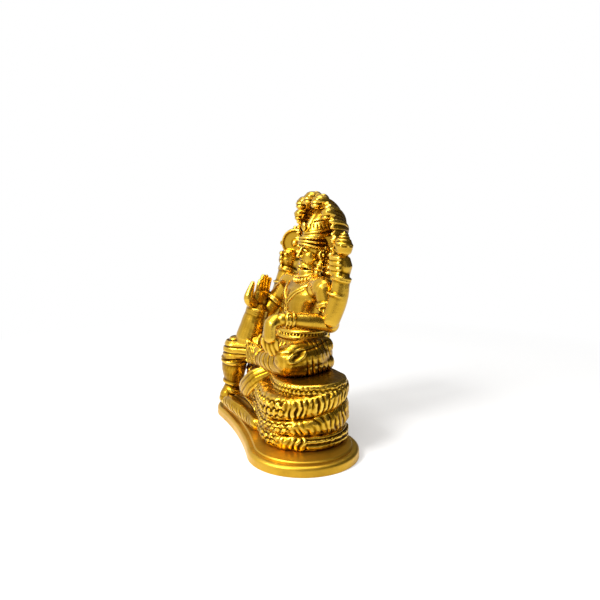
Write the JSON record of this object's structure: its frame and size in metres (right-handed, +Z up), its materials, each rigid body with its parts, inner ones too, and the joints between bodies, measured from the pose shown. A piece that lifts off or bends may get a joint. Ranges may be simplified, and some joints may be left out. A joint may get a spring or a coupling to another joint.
{
  "type": "hindu deity statue",
  "caption": "Small cast brass statue of a four-armed deity seated on a coiled serpent whose hood arches over the crown.",
  "frame": {"origin": "bottom centre of the base plate, below the middle of the serpent's coils", "axes": "+Z up, the deity faces -Y, its left side is +X"},
  "size_m": [0.0815, 0.0459, 0.0878],
  "materials": {
    "brass": "cast brass, hand-finished and polished, darker in the recesses"
  },
  "bodies": {
    "root": {"arm_back_left": "brass", "arm_back_right": "brass", "arm_front_left": "brass", "arm_front_right": "brass", "base_plate": "brass", "conch": "brass", "crown": "brass", "discus": "brass", "ear_ornament_left": "brass", "ear_ornament_right": "brass", "garland": "brass", "head": "brass", "hips": "brass", "leg_left_folded": "brass", "leg_right_hanging": "brass", "sash_end": "brass", "seat_block": "brass", "serpent_coil_lower": "brass", "serpent_coil_middle": "brass", "serpent_coil_upper": "brass", "serpent_head_1": "brass", "serpent_head_2": "brass", "serpent_head_3": "brass", "serpent_head_4": "brass", "serpent_head_5": "brass", "serpent_hood": "brass", "serpent_neck": "brass", "serpent_tail": "brass", "torso": "brass", "waist_belt": "brass"}
  },
  "joints": []
}
